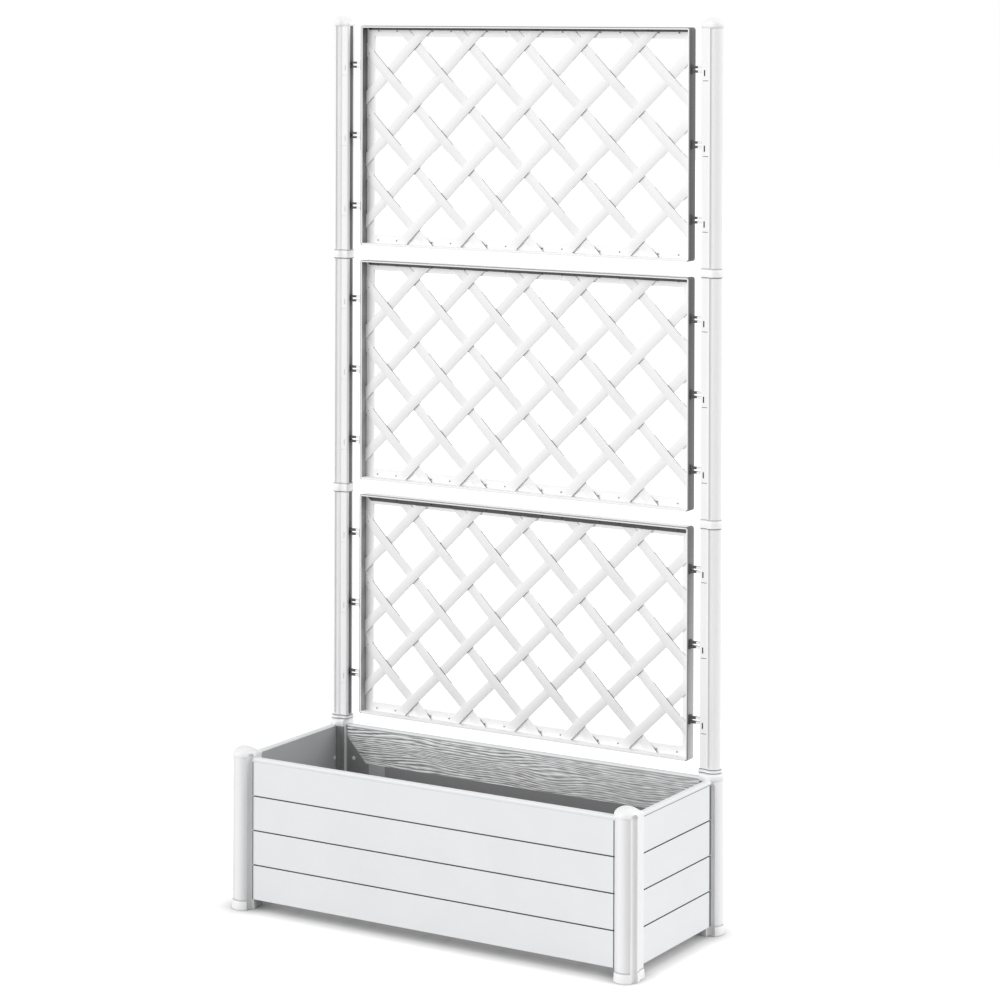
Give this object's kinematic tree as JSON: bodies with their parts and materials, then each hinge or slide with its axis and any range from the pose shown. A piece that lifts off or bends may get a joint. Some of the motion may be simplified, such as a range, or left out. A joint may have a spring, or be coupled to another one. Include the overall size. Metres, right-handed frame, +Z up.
{
  "type": "planter with trellis",
  "caption": "Rectangular trough planter on corner posts, with a tall tiered lattice trellis standing on its two back posts.",
  "frame": {"origin": "on the floor under the middle of the trough", "axes": "+Z up, +X to the right seen from the front, +Y to the back, where the trellis stands"},
  "size_m": [1.0052, 0.4252, 1.9396],
  "materials": {
    "post_resin": "smooth injection-moulded white polypropylene, satin",
    "wall_resin": "white polypropylene boards, satin outside, faint moulded wood grain inside",
    "pin_resin": "white polypropylene, satin",
    "panel_resin": "white polypropylene lattice, satin",
    "clip_resin": "white polypropylene, satin",
    "tray_resin": "plain pale grey polypropylene, matt"
  },
  "bodies": {
    "root": {"clip_lower_left_1": "clip_resin", "clip_lower_left_2": "clip_resin", "clip_lower_left_3": "clip_resin", "clip_lower_right_1": "clip_resin", "clip_lower_right_2": "clip_resin", "clip_lower_right_3": "clip_resin", "clip_middle_left_1": "clip_resin", "clip_middle_left_2": "clip_resin", "clip_middle_left_3": "clip_resin", "clip_middle_right_1": "clip_resin", "clip_middle_right_2": "clip_resin", "clip_middle_right_3": "clip_resin", "clip_upper_left_1": "clip_resin", "clip_upper_left_2": "clip_resin", "clip_upper_left_3": "clip_resin", "clip_upper_right_1": "clip_resin", "clip_upper_right_2": "clip_resin", "clip_upper_right_3": "clip_resin", "corner_post_back_left": "post_resin", "corner_post_back_right": "post_resin", "corner_post_front_left": "post_resin", "corner_post_front_right": "post_resin", "floor_tray": "tray_resin", "foot_back_left": "post_resin", "foot_back_right": "post_resin", "foot_front_left": "post_resin", "foot_front_right": "post_resin", "post_cap_front_left": "post_resin", "post_cap_front_right": "post_resin", "post_collar_back_left": "post_resin", "post_collar_back_right": "post_resin", "post_coupling_left_lower": "post_resin", "post_coupling_left_middle": "post_resin", "post_coupling_right_lower": "post_resin", "post_coupling_right_middle": "post_resin", "top_cap_left": "post_resin", "top_cap_right": "post_resin", "trellis_panel_lower": "panel_resin", "trellis_panel_middle": "panel_resin", "trellis_panel_upper": "panel_resin", "trellis_post_left_lower": "post_resin", "trellis_post_left_middle": "post_resin", "trellis_post_left_upper": "post_resin", "trellis_post_right_lower": "post_resin", "trellis_post_right_middle": "post_resin", "trellis_post_right_upper": "post_resin", "wall_back": "wall_resin", "wall_front": "wall_resin", "wall_left": "wall_resin", "wall_pin_back_left": "pin_resin", "wall_pin_back_right": "pin_resin", "wall_pin_front_left": "pin_resin", "wall_pin_front_right": "pin_resin", "wall_pin_left_back": "pin_resin", "wall_pin_left_front": "pin_resin", "wall_pin_right_back": "pin_resin", "wall_pin_right_front": "pin_resin", "wall_right": "wall_resin"}
  },
  "joints": []
}
